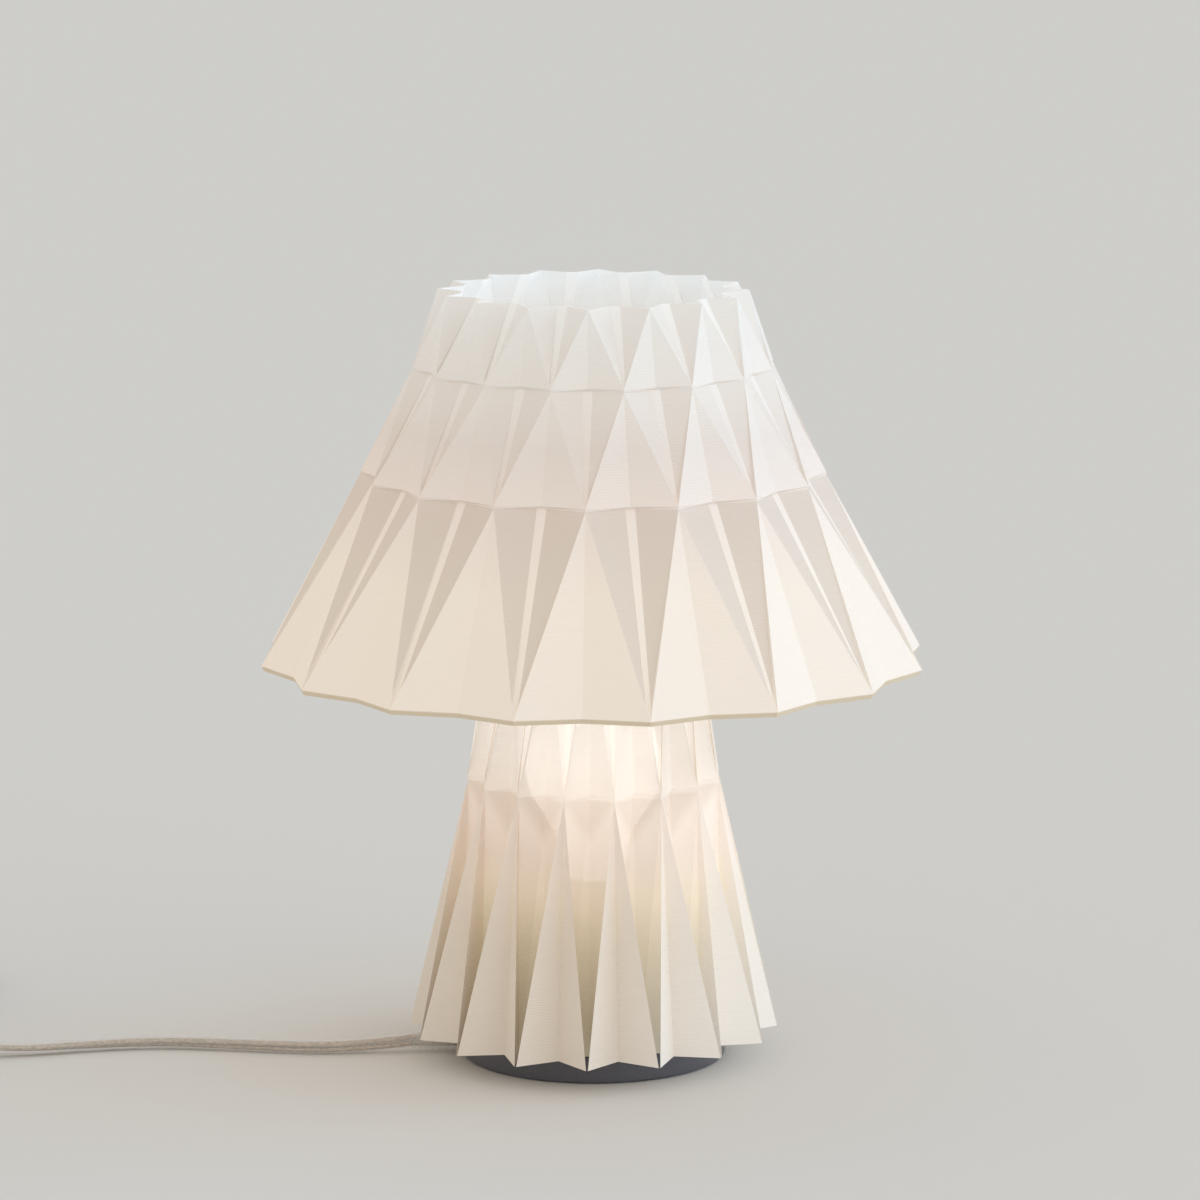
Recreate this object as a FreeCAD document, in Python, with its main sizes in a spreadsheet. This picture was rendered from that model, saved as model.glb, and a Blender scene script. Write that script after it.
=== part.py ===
import FreeCAD, Part
import Sketcher
import math
import os
import re

# Pleated table lamp: a translucent printed shade on a translucent printed base shell,
# with a steel puck, an E27 lampholder and bulb, and a clear mains lead with switch and plug.
# Millimetres. +Z is up, the lamp stands on z = 0, and the front of the lamp faces -Y.

document = FreeCAD.newDocument("PleatedTableLamp")
sheet = document.addObject("Spreadsheet::Sheet", "Sizes")

sizes = {
    # foot
    "puck_radius": 58, "puck_top": 12, "puck_edge": 0.6,
    "pad_radius": 52, "pad_thickness": 1.5, "pad_proud": 0.5,
    "pocket_radius": 31, "pocket_ceiling": 9,
    # pleats: how many, and how far the base and the shade are turned about the lamp's axis
    "pleat_count": 16, "base_turn": -1.93, "shade_turn": 9.41,
    # base shell, from the puck up
    "base_wall": 0.9, "foot_tip_radius": 80.8, "foot_valley_radius": 65.8,
    "foot_inner_radius": 58.2, "foot_crease_radius": 56.4, "foot_slit": 0.8,
    "foot_inner_share": 0.8,
    "waist_height": 124.5, "waist_radius": 55.5, "waist_crease_radius": 48,
    "waist_ledge_height": 2.2, "waist_ledge_recess": 1.6,
    "neck_height": 196, "neck_radius": 44.5, "neck_crease_radius": 39,
    "floor_thickness": 2.5, "floor_hole_radius": 36,
    "neck_ring_radius": 33.5, "neck_ring_thickness": 3,
    # shade, from the rim up
    "shade_wall": 1, "rim_height": 175, "hem_height": 2.3, "hem_inset": 1,
    "rim_radius": 145.2, "rim_valley_radius": 137,
    "shoulder_height": 258.2, "shoulder_radius": 100.8, "shoulder_crease_radius": 94.8,
    "collar_height": 305, "collar_radius": 78.9, "collar_crease_radius": 74,
    "crown_height": 338, "crown_radius": 67.2, "crown_crease_radius": 57.5,
    "strip_width": 4.2, "strip_foot_width": 1.8, "blunt_share": 0.07, "blunt_depth": 1.6,
    "shade_ledge_height": 1.2, "shade_ledge_recess": 0.5,
    # shade carrier and the seat that the shade rests by
    "hub_outer_radius": 42, "hub_thickness": 3,
    "arm_width": 4, "arm_thickness": 3, "arm_foot_radius": 47,
    "seat_margin": 4.8, "seat_ring_width": 4, "seat_ring_height": 4,
    "seat_height": 256.3, "seat_gap": 0.3, "seat_thickness": 2.2,
    # threaded stem through the puck
    "stem_radius": 5, "stem_bore_radius": 3.4, "stem_bottom": 4.6, "stem_top": 31.8,
    "nut_flats": 14, "nut_height": 3.2, "washer_radius": 9, "washer_thickness": 1,
    "thread_gap": 0.05,
    "pedestal_radius": 11, "pedestal_height": 12,
    # cup and lampholder
    "cup_radius": 31.5, "cup_height": 56, "cup_wall": 1.2,
    "holder_radius": 19.5, "cap_height": 14.5, "holder_wall": 1.6, "cap_floor": 3,
    "holder_height": 54.5, "insert_radius": 15.6,
    "insert_bottom": 11.5, "insert_height": 10,
    "sleeve_radius": 13.9, "sleeve_wall": 0.4, "sleeve_height": 29, "mouth_radius": 14.8,
    "spring_radius": 4, "spring_tip_radius": 2.4, "spring_height": 3.3,
    "terminal_radius": 1.6, "terminal_side": 9, "terminal_length": 5,
    # bulb, upwards from the tip of its contact
    "tip_gap": 0.3, "tip_radius": 4.7, "tip_height": 1.6, "insulator_height": 4,
    "screw_cap_radius": 13.1, "screw_cap_wall": 0.5, "screw_cap_height": 22,
    "glass_neck_radius": 13.4, "glass_neck_height": 3, "globe_radius": 30, "globe_rise": 78,
    "shoulder_rise": 64, "glass_wall": 0.8, "glass_foot_radius": 12.4, "glass_foot_height": 8,
    "post_radius": 3, "post_height": 24, "filament_radius": 0.9, "filament_length": 38,
    "filament_circle": 9,
    # screws
    "screw_circle": 46, "screw_radius": 2, "screw_head_radius": 3.8, "screw_head_height": 2.2,
    "screw_length": 9, "small_screw_radius": 1.5, "small_head_radius": 2.4,
    "small_head_height": 1.6, "neck_screw_circle": 36, "neck_screw_turn": 30,
    "small_nut_flats": 5,
    "small_nut_height": 2.4, "screw_gap": 0.15,
    # mains lead
    "cord_radius": 2.9, "cord_height": 5.4, "cord_side": -3, "cord_gap": 0.05,
    "relief_length": 22, "relief_radius": 4.6, "relief_end_radius": 3.5,
    "relief_plug_length": 10, "relief_plug_radius": 3.3,
    "grip_inner": 14, "grip_length": 9, "grip_width": 24, "grip_lift": 0.2,
    "grip_screw_offset": 8, "grip_screw_length": 9,
    "core_radius": 1, "core_offset": 1.5,
    # inline switch
    "switch_x": -306, "switch_y": -12, "switch_length": 60, "switch_width": 27,
    "switch_height": 17, "switch_split": 8, "switch_wall": 1.8, "switch_cord_height": 4.8,
    "rocker_radius": 11, "rocker_width": 11, "rocker_gap": 0.4, "rocker_rise": 6.8,
    "rocker_travel": 16,
    "rocker_pin_radius": 1.1, "boss_thickness": 2, "contact_length": 6, "contact_width": 4,
    "contact_height": 5, "contact_x": 14, "post_x": 20, "post_y": 8.2, "switch_post_radius": 2.8,
    # coil of the length that is put away, and its tie
    "coil_x": -322, "coil_y": 94.5, "coil_turn_radius": 32.7, "coil_lift": 0.9,
    "coil_rows": 3, "coil_layers": 3, "tie_width": 12, "tie_thickness": 0.8,
    # plug
    "plug_x": -412, "plug_boot_start": 66, "plug_boot_length": 22, "plug_body_length": 30,
    "plug_width": 35, "plug_height": 13.7, "plug_face_width": 27, "plug_neck_width": 16,
    "plug_shoulder": 6, "plug_waist": 14, "boot_end_radius": 6.4,
    "boot_tip_radius": 3.8, "pin_radius": 2, "pin_length": 19, "pin_spacing": 18.6,
    "pin_root": 6, "pin_root_radius": 1.4,
}

# The lead's route, chosen by hand: from the strain relief to the switch, from the switch
# to the coil, and from the coil to the plug.
lead_route = [
    (-80, -3, 5.4), (-97, -4.2, 3.5), (-122, -7.5, 2.95), (-156, -1.5, 2.95),
    (-192, 4, 2.95), (-226, -3, 2.95), (-251, -10.5, 3.3), (-267, -12.1, 4.7), (-282, -12, 4.8),
]
middle_route = [
    (-330, -12, 4.8), (-345, -12.1, 4.6), (-363, -11.3, 2.95), (-381, 1, 2.95),
    (-388, 22, 2.95), (-381, 43, 2.95), (-363, 55.6, 3.1), (-342, 56.6, 3.7),
    (-322, 56, 3.8),
]
tail_route = [
    (-322, 127.2, 15.4), (-341, 127.4, 15.3), (-360, 125.6, 10.4), (-379, 119, 5),
    (-395, 108, 2.95), (-406, 93, 3.2), (-411.5, 78, 5.4), (-412, 66, 6.85),
]

for row, (alias, number) in enumerate(sizes.items(), start=1):
    sheet.set(f"A{row}", alias)
    sheet.set(f"B{row}", str(number))
    sheet.setAlias(f"B{row}", alias)
document.recompute()

parts = {}


def size(alias):
    return float(sheet.get(alias))


def sized(text):
    """The expression, with each of the sheet's aliases in it pointing at the sheet."""
    def point(match):
        return f"Sizes.{match.group()}" if match.group() in sizes else match.group()
    return re.sub(r"[a-z_]+", point, str(text))


def bind(thing, **expressions):
    for name, text in expressions.items():
        thing.setExpression(name.replace("__", "."), sized(text))
    return thing


def place(thing, x=0, y=0, z=0):
    return bind(thing, Placement__Base__x=x, Placement__Base__y=y, Placement__Base__z=z)


def keep(label, thing):
    thing.Label = label
    parts[label] = thing
    return thing


def cylinder(radius, height, x=0, y=0, z=0, along=None):
    """A cylinder that stands on (x, y, z), or points along another axis from there."""
    thing = bind(document.addObject("Part::Cylinder", "cylinder"), Radius=radius, Height=height)
    turns = {"x": (FreeCAD.Vector(0, 1, 0), 90), "y": (FreeCAD.Vector(1, 0, 0), -90)}
    if along:
        thing.Placement.Rotation = FreeCAD.Rotation(*turns[along])
    return place(thing, x, y, z)


def cone(low_radius, high_radius, height, x=0, y=0, z=0, along=None):
    thing = document.addObject("Part::Cone", "cone")
    bind(thing, Radius1=low_radius, Radius2=high_radius, Height=height)
    turns = {"x": (FreeCAD.Vector(0, 1, 0), 90), "y": (FreeCAD.Vector(1, 0, 0), -90)}
    if along:
        thing.Placement.Rotation = FreeCAD.Rotation(*turns[along])
    return place(thing, x, y, z)


def block(length, width, height, x=0, y=0, z=0):
    """A box centred on (x, y) that stands on z."""
    thing = document.addObject("Part::Box", "block")
    bind(thing, Length=length, Width=width, Height=height)
    return place(thing, f"({x}) - ({length}) / 2", f"({y}) - ({width}) / 2", z)


def hexagon(flats, height, z, bore, x=0, y=0):
    """A hexagon nut."""
    prism = document.addObject("Part::Prism", "nut")
    bind(prism, Circumradius=f"({flats}) / 2 / cos(30)", Height=height)
    place(prism, x, y, z)
    return cut(prism, cylinder(bore, height, x, y, z))


def fuse(*things):
    thing = document.addObject("Part::MultiFuse", "fused")
    thing.Shapes = list(things)
    return thing


def cut(base, *tools):
    thing = document.addObject("Part::Cut", "cut")
    thing.Base = base
    thing.Tool = tools[0] if len(tools) == 1 else fuse(*tools)
    return thing


def common(base, tool):
    thing = document.addObject("Part::Common", "common")
    thing.Base = base
    thing.Tool = tool
    return thing


def group(*things):
    thing = document.addObject("Part::Compound", "group")
    thing.Links = list(things)
    return thing


def origin_plane(body, role):
    return next(plane for plane in body.Origin.OriginFeatures if plane.Role == role)


def outline(sketch, points):
    """A closed outline of straight lines, each corner bound to its own pair of expressions."""
    count = len(points)
    for index in range(count):
        start = FreeCAD.Vector(10 + index, index % 3, 0)
        end = FreeCAD.Vector(11 + index, (index + 1) % 3, 0)
        sketch.addGeometry(Part.LineSegment(start, end), False)
    for index in range(count):
        after = (index + 1) % count
        sketch.addConstraint(Sketcher.Constraint("Coincident", index, 2, after, 1))
    for index, point in enumerate(points):
        for kind, axis, text in zip(("DistanceX", "DistanceY"), (-2, -1), point):
            if str(text) == "0":
                sketch.addConstraint(Sketcher.Constraint("PointOnObject", index, 1, axis))
                continue
            number = sketch.addConstraint(Sketcher.Constraint(kind, -1, 1, index, 1, 10 + index))
            sketch.setExpression(f"Constraints[{number}]", sized(text))


def revolved(label, points):
    """A body turned about the lamp's axis from a profile of (radius, height) corners."""
    body = document.addObject("PartDesign::Body", label + "_body")
    sketch = body.newObject("Sketcher::SketchObject", label + "_profile")
    sketch.AttachmentSupport = [(origin_plane(body, "XZ_Plane"), "")]
    sketch.MapMode = "FlatFace"
    outline(sketch, points)
    turn = body.newObject("PartDesign::Revolution", label + "_turn")
    turn.Profile = sketch
    turn.ReferenceAxis = (sketch, ["V_Axis"])
    turn.Angle = 360
    return body


# Pleated shells. A section is a closed ring of corners, and each pleat has the same ones.

def corner(radius, pitches, side=0.0):
    """A corner of pleat 0: its radius, its angle in pitches, and a shift sideways."""
    angle = math.radians(pitches * 360 / size("pleat_count")) + math.asin(side / radius)
    return FreeCAD.Vector(radius * math.sin(angle), -radius * math.cos(angle), 0)


def mix(low, high, share):
    return low + (high - low) * share


def ring_of(height, corners, turn):
    """The section at this height, all round: the corners of every pleat."""
    count = int(size("pleat_count"))
    spots = []
    for pleat in range(count):
        around = FreeCAD.Rotation(FreeCAD.Vector(0, 0, 1), turn + pleat * 360 / count)
        spots += [around.multVec(spot) + FreeCAD.Vector(0, 0, height) for spot in corners]
    return spots


def without_repeats(spots):
    """The corners that differ from the one before, and for each corner which one it is."""
    single = []
    owner = []
    for spot in spots:
        if not single or (spot - single[-1]).Length > 1e-6:
            single.append(spot)
        owner.append(len(single) - 1)
    if (single[0] - single[-1]).Length < 1e-6:
        single.pop()
        owner = [index % len(single) for index in owner]
    return single, owner


def inset(spots, wall):
    """The same section moved inwards by the wall, with as many corners."""
    single, owner = without_repeats(spots)
    moved = []
    for index, here in enumerate(single):
        arriving = (here - single[index - 1]).normalize()
        leaving = (single[(index + 1) % len(single)] - here).normalize()
        middle = FreeCAD.Vector(-arriving.y - leaving.y, arriving.x + leaving.x, 0)
        moved.append(here + middle * (2 * wall / middle.dot(middle)))
    return [moved[index] for index in owner]


def polygon(corners):
    return Part.Face(Part.makePolygon(corners + [corners[0]]))


def facets(quad):
    """One face where the corners lie in a plane, or else two triangles."""
    loop = [spot for index, spot in enumerate(quad) if (spot - quad[index - 1]).Length > 1e-6]
    if len(loop) < 3:
        return []
    normal = (loop[1] - loop[0]).cross(loop[2] - loop[0]).normalize()
    if len(loop) == 4 and abs(normal.dot(loop[3] - loop[0])) > 1e-7:
        return [polygon(loop[:3]), polygon([loop[0], loop[2], loop[3]])]
    return [polygon(loop)]


def skin(sections):
    """Flat faces between sections that stand one above the other."""
    faces = []
    for lower, upper in zip(sections, sections[1:]):
        for index in range(len(lower)):
            after = (index + 1) % len(lower)
            faces += facets([lower[index], lower[after], upper[after], upper[index]])
    return faces


def rim_face(outer, inner):
    """The flat face between the outer and the inner skin at one end."""
    rims = [without_repeats(spots)[0] for spots in (outer, inner)]
    wires = [Part.makePolygon(rim + [rim[0]]) for rim in rims]
    return Part.makeFace(wires, "Part::FaceMakerBullseye")


def pleated_shell(rows, wall):
    """A thin-walled solid. Each row of pleats is its own stack of sections."""
    faces = []
    for sections in rows:
        faces += skin(sections) + skin([inset(spots, wall) for spots in sections])
    for spots in (rows[0][0], rows[-1][-1]):
        faces.append(rim_face(spots, inset(spots, wall)))
    sewn = Part.makeShell(faces)
    sewn.sewShape()
    solid = Part.makeSolid(sewn)
    if solid.Volume < 0:
        solid.reverse()
    return solid


def hollows_row(low, high, start, turn):
    """A row of pleats whose hollows open upwards from its lower corners.

    low is its height, corner radius and valley radius, and high is its height, corner
    radius and crease radius. The upper corners stand half a pitch along from the lower.
    """
    low_height, low_radius, valley_radius = low
    high_height, high_radius, crease_radius = high
    share = size("blunt_share")
    strip = size("strip_width") / 2
    foot = size("strip_foot_width") / 2
    fold = corner(low_radius, start)
    valley = corner(valley_radius, start + 0.5)
    left, right = corner(high_radius, start - 0.5), corner(high_radius, start + 0.5)
    foot_radius = mix(low_radius, high_radius, share) - size("blunt_depth")
    return [
        ring_of(low_height, [fold, fold, fold, fold, valley], turn),
        ring_of(mix(low_height, high_height, share), [
            mix(fold, left, share), corner(foot_radius, start, -foot),
            corner(foot_radius, start, foot), mix(fold, right, share),
            mix(valley, right, share),
        ], turn),
        ring_of(high_height, [
            left, corner(crease_radius, start, -strip), corner(crease_radius, start, strip),
            right, right,
        ], turn),
    ]


def ledge_row(bottom, top, radius, crease_radius, valley_radius, strip, start, turn):
    """The low step between a row of hollows and the row that stands on it."""
    peak = corner(radius, start + 0.5)
    valley = corner(valley_radius, start)
    creases = [corner(crease_radius, start, side * strip / 2) for side in (-1, 1)]
    return [
        ring_of(bottom, creases + [peak], turn),
        ring_of(top, [valley, valley, peak], turn),
    ]


def shade_rows():
    """The hem, then three rows of hollows with a ledge above each of the first two."""
    turn = size("shade_turn")
    half = size("shade_ledge_height") / 2
    strip = size("strip_width")
    hem_top = size("rim_height") + size("hem_height")
    rim = [corner(size("rim_radius"), 0), corner(size("rim_valley_radius"), 0.5)]
    under = [spot * (1 - size("hem_inset") / spot.Length) for spot in rim]
    rows = [[ring_of(size("rim_height"), under, turn), ring_of(hem_top, rim, turn)]]
    low = (hem_top, size("rim_radius"), size("rim_valley_radius"))
    for start, name in ((0, "shoulder"), (0.5, "collar")):
        height, radius = size(name + "_height"), size(name + "_radius")
        crease = size(name + "_crease_radius")
        valley = crease + size("shade_ledge_recess")
        bottom, top = height - half, height + half
        rows.append(hollows_row(low, (bottom, radius, crease), start, turn))
        rows.append(ledge_row(bottom, top, radius, crease, valley, strip, start, turn))
        low = (top, radius, valley)
    crown = (size("crown_height"), size("crown_radius"), size("crown_crease_radius"))
    rows.append(hollows_row(low, crown, 1, turn))
    return rows


def base_rows():
    """Leaves that hang free at the foot, a ledge at the waist, and a row of hollows above."""
    turn = size("base_turn")
    half = size("waist_ledge_height") / 2
    slit = size("foot_slit") / 2
    fold = size("foot_inner_share") / 2
    tip, inner = size("foot_tip_radius"), size("foot_inner_radius")
    waist, waist_radius = size("waist_height"), size("waist_radius")
    crease = size("waist_crease_radius")
    peak = corner(waist_radius, 0.5)
    leaves = [
        ring_of(size("puck_top"), [
            corner(size("foot_crease_radius"), 0), corner(inner, fold), corner(tip, 0, slit),
            corner(size("foot_valley_radius"), 0.5), corner(tip, 1, -slit),
            corner(inner, 1 - fold),
        ], turn),
        ring_of(waist - half, [corner(crease, 0)] + [peak] * 5, turn),
    ]
    valley = crease + size("waist_ledge_recess")
    ledge = ledge_row(waist - half, waist + half, waist_radius, crease, valley, 0, 0, turn)
    low = (waist + half, waist_radius, valley)
    neck = (size("neck_height"), size("neck_radius"), size("neck_crease_radius"))
    return [leaves, ledge, hollows_row(low, neck, 0.5, turn)]


def made(name, shape):
    """An object that holds a shape worked out in code from the sheet."""
    thing = document.addObject("Part::Feature", name)
    thing.Shape = shape
    return thing


def drilled(radius, depth, circle, z, first=90):
    """Three round holes or pegs on a circle."""
    turns = [first + step * 120 for step in range(3)]
    return [cylinder(radius, depth, f"{circle} * cos({a})", f"{circle} * sin({a})", z)
            for a in turns]


def ring_between(outer, inner, height, z):
    return cut(cylinder(outer, height, z=z), cylinder(inner, height, z=z))


def narrowest(rows, bottom, top):
    """The smallest radius that a shell's outer skin has between two heights."""
    radii = []
    for sections in rows:
        for lower, upper in zip(sections, sections[1:]):
            ends = max(bottom, lower[0].z), min(top, upper[0].z)
            if ends[0] > ends[1]:
                continue
            for below, above in zip(lower, upper):
                for height in ends:
                    spot = mix(below, above, (height - below.z) / (above.z - below.z))
                    radii.append(math.hypot(spot.x, spot.y))
    return min(radii)


# The shade's own ring sits in its wall at the seat, and the carrier's ring stays inside that.
seat_bottom = size("seat_height") + size("seat_gap")
seat_skin = narrowest(shade_rows(), seat_bottom, seat_bottom + size("seat_thickness"))
seat_ring_radius = f"({seat_skin} - shade_wall - seat_margin)"


def base_shell():
    """The lower printed shell, with the floor it is screwed down by and the ring at its neck."""
    skirt = made("base_skirt", pleated_shell(base_rows(), size("base_wall")))
    floor = cut(
        cylinder("foot_crease_radius - base_wall / 2", "floor_thickness", z="puck_top"),
        cylinder("floor_hole_radius", "floor_thickness", z="puck_top"),
        *drilled("screw_radius + screw_gap", "floor_thickness", "screw_circle", "puck_top"),
    )
    neck_bottom = "neck_height - neck_ring_thickness"
    neck = cut(
        cylinder("neck_crease_radius - 0.2", "neck_ring_thickness", z=neck_bottom),
        cylinder("neck_ring_radius", "neck_ring_thickness", z=neck_bottom),
        *drilled("small_screw_radius + screw_gap", "neck_ring_thickness", "neck_screw_circle",
                 neck_bottom, first=size("neck_screw_turn")),
    )
    keep("base_shell", fuse(skirt, floor, neck))


def shade_shell():
    """The printed shade, with the ring inside its shoulder that rests on the carrier."""
    skirt = made("shade_skirt", pleated_shell(shade_rows(), size("shade_wall")))
    seat = ring_between(
        f"{seat_skin} - shade_wall / 2",
        f"{seat_ring_radius} - seat_ring_width - 1", "seat_thickness", "seat_height + seat_gap",
    )
    keep("shade_shell", fuse(skirt, seat))


# The foot, and what stands on it.

def extruded(label, points, height, placement):
    """A prism from an outline, lifted off the sketch's own plane by its height."""
    sketch = document.addObject("Sketcher::SketchObject", label + "_outline")
    sketch.Placement = placement
    outline(sketch, points)
    prism = document.addObject("Part::Extrusion", label)
    prism.Base = sketch
    prism.DirMode = "Normal"
    prism.Solid = True
    prism.Symmetric = False
    return bind(prism, LengthFwd=height)


def screws(radius, length, head_radius, head_height, spots, seat):
    """Pan-head screws, one at each (x, y), whose heads sit on the seat and point down."""
    return group(*[
        fuse(cylinder(radius, length, x, y, f"{seat} - ({length})"),
             cylinder(head_radius, head_height, x, y, seat))
        for x, y in spots
    ])


def circle_spots(circle, first):
    turns = [first + step * 120 for step in range(3)]
    return [(f"{circle} * cos({turn})", f"{circle} * sin({turn})") for turn in turns]


cup_bottom = "puck_top + pedestal_height"
holder_bottom = f"{cup_bottom} + cup_wall"
insert_bottom = f"{holder_bottom} + insert_bottom"
insert_top = f"{insert_bottom} + insert_height"
tip_bottom = f"{insert_top} + spring_height + tip_gap"
cap_bottom = f"{tip_bottom} + tip_height + insulator_height"
cap_top = f"{cap_bottom} + screw_cap_height"
grip_x = "0 - grip_inner - grip_length / 2"


def foot():
    """The steel puck with its pad, and the strain relief block in its pocket."""
    keep("foot_pad", cylinder("pad_radius", "pad_thickness"))
    bore = "stem_radius + thread_gap"
    rim = "pad_radius + screw_gap"
    turned_puck = revolved("puck", [
        (bore, "puck_top"), ("puck_radius - puck_edge", "puck_top"),
        ("puck_radius", "puck_top - puck_edge"), ("puck_radius", "pad_proud + puck_edge"),
        ("puck_radius - puck_edge", "pad_proud"), (rim, "pad_proud"),
        (rim, "pad_thickness"), ("pocket_radius", "pad_thickness"),
        ("pocket_radius", "pocket_ceiling"), (bore, "pocket_ceiling"),
    ])
    inlet = cylinder("relief_plug_radius + cord_gap", "puck_radius",
                     x="0 - puck_radius - 1", y="cord_side", z="cord_height", along="x")
    depth = "screw_length - floor_thickness + 0.5"
    holes = drilled("screw_radius + thread_gap", depth, "screw_circle",
                    f"puck_top - ({depth})")
    sides = [f"cord_side + grip_screw_offset * {side}" for side in (-1, 1)]
    grip_bottom = "pad_thickness + grip_lift"
    holes += [cylinder("small_screw_radius + thread_gap",
                       "grip_screw_length + grip_lift", grip_x, y, grip_bottom) for y in sides]
    keep("base_puck", cut(turned_puck, inlet, *holes))

    height = f"pocket_ceiling - ({grip_bottom})"
    bar = block("grip_length", "grip_width", height, grip_x, "cord_side", grip_bottom)
    way = cylinder("cord_radius + cord_gap", "grip_length",
                   x="0 - grip_inner - grip_length", y="cord_side", z="cord_height", along="x")
    recesses = [cylinder("small_head_radius + screw_gap", "small_head_height + screw_gap",
                         grip_x, y, grip_bottom) for y in sides]
    shafts = [cylinder("small_screw_radius + screw_gap", height, grip_x, y, grip_bottom)
              for y in sides]
    keep("cord_grip", cut(bar, way, *recesses, *shafts))
    keep("grip_screws", group(*[
        fuse(cylinder("small_screw_radius", "grip_screw_length", grip_x, y, grip_bottom),
             cylinder("small_head_radius", "small_head_height", grip_x, y, grip_bottom))
        for y in sides
    ]))


def stem():
    """The threaded tube that clamps the pedestal, the cup and the lampholder to the puck."""
    bore = "stem_radius + thread_gap"
    keep("stem_tube", ring_between("stem_radius", "stem_bore_radius",
                                   "stem_top - stem_bottom", "stem_bottom"))
    washer_bottom = "pocket_ceiling - washer_thickness"
    keep("stem_washer", ring_between("washer_radius", bore, "washer_thickness", washer_bottom))
    keep("stem_nuts", group(
        hexagon("nut_flats", "nut_height", f"{washer_bottom} - nut_height", bore),
        hexagon("nut_flats", "nut_height", f"{holder_bottom} + cap_floor", bore),
    ))
    keep("pedestal", ring_between("pedestal_radius", bore, "pedestal_height", "puck_top"))


def lampholder():
    """A metal cup round an E27 lampholder: cap, body, ceramic insert, sleeve and contact."""
    bore = "stem_radius + thread_gap"
    inside = "cup_radius - cup_wall"
    keep("holder_cup", revolved("cup", [
        (bore, cup_bottom), ("cup_radius - 1.5", cup_bottom),
        ("cup_radius", f"{cup_bottom} + 1.5"), ("cup_radius", f"{cup_bottom} + cup_height"),
        (inside, f"{cup_bottom} + cup_height"), (inside, f"{cup_bottom} + cup_wall + 1.2"),
        (f"{inside} - 1.2", f"{cup_bottom} + cup_wall"), (bore, f"{cup_bottom} + cup_wall"),
    ]))
    cap_rim = f"{holder_bottom} + cap_height"
    keep("lampholder_cap", revolved("cap", [
        (bore, holder_bottom), ("holder_radius - 4", holder_bottom),
        ("holder_radius", f"{holder_bottom} + 4"), ("holder_radius", cap_rim),
        ("holder_radius - holder_wall", cap_rim),
        ("holder_radius - holder_wall", f"{holder_bottom} + 4 + cap_floor / 2"),
        ("holder_radius - 4 - holder_wall", f"{holder_bottom} + cap_floor"),
        (bore, f"{holder_bottom} + cap_floor"),
    ]))
    holder_top = f"{holder_bottom} + holder_height"
    sleeve = "sleeve_radius + cord_gap"
    sleeve_top = f"{insert_top} + sleeve_height"
    keep("lampholder_body", revolved("body", [
        ("insert_radius + cord_gap", cap_rim), ("holder_radius", cap_rim),
        ("holder_radius", f"{cap_rim} + 6"), ("holder_radius - 1.5", f"{cap_rim} + 7.5"),
        ("holder_radius - 1.5", f"{holder_top} - 1"), ("holder_radius - 2.5", holder_top),
        ("mouth_radius", holder_top), ("mouth_radius", sleeve_top), (sleeve, sleeve_top),
        (sleeve, insert_top), ("insert_radius + cord_gap", insert_top),
    ]))
    terminals = [f"terminal_side * {side}" for side in (-1, 1)]
    keep("lampholder_insert", cut(
        cylinder("insert_radius", "insert_height", z=insert_bottom),
        *[cylinder("terminal_radius + thread_gap", "terminal_length / 2", 0, y, insert_bottom)
          for y in terminals],
    ))
    keep("terminal_screws", group(*[
        cylinder("terminal_radius", "terminal_length", 0, y,
                 f"{insert_bottom} - terminal_length / 2") for y in terminals
    ]))
    keep("thread_sleeve", ring_between("sleeve_radius", "sleeve_radius - sleeve_wall",
                                       "sleeve_height", insert_top))
    keep("centre_contact", cone("spring_radius", "spring_tip_radius", "spring_height",
                                z=insert_top))


def glass_form(wall):
    """The outside of the bulb's glass, or its inside when the wall is taken off."""
    slope = "globe_rise - shoulder_rise"
    shoulder = f"sqrt((globe_radius - {wall})^2 - ({slope})^2)"
    neck_top = f"{cap_top} + glass_neck_height"
    cone_height = f"{tip_bottom} + shoulder_rise - ({neck_top})"
    globe = bind(document.addObject("Part::Sphere", "globe"), Radius=f"globe_radius - {wall}")
    place(globe, z=f"{tip_bottom} + globe_rise")
    return fuse(
        cylinder(f"glass_foot_radius - {wall}", "glass_foot_height + glass_neck_height",
                 z=f"{cap_top} - glass_foot_height"),
        cylinder(f"glass_neck_radius - {wall}", f"glass_neck_height - {wall}",
                 z=f"{cap_top} + {wall}"),
        cone(f"glass_neck_radius - {wall}", shoulder, cone_height, z=neck_top),
        globe,
    )


def bulb():
    """A standard E27 bulb: contact, insulator, screw cap, glass, post and filaments."""
    keep("bulb_contact", cylinder("tip_radius", "tip_height", z=tip_bottom))
    keep("bulb_insulator", cone("tip_radius + 1", "screw_cap_radius - screw_cap_wall",
                                "insulator_height", z=f"{tip_bottom} + tip_height"))
    keep("bulb_cap", ring_between("screw_cap_radius", "screw_cap_radius - screw_cap_wall",
                                  "screw_cap_height", cap_bottom))
    keep("bulb_glass", cut(glass_form("0"), glass_form("glass_wall")))
    post_bottom = f"{cap_top} - glass_foot_height"
    post_top = f"{post_bottom} + post_height"
    plate = "filament_circle + filament_radius"
    keep("bulb_post", fuse(
        cylinder("glass_foot_radius - glass_wall", "glass_wall", z=post_bottom),
        cylinder("post_radius", "post_height", z=post_bottom),
        cylinder(plate, "glass_wall", z=f"{post_top} - glass_wall"),
    ))
    keep("bulb_filaments", group(*[
        cylinder("filament_radius", "filament_length", f"filament_circle * cos({turn})",
                 f"filament_circle * sin({turn})", post_top) for turn in (0, 90, 180, 270)
    ]))


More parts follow.
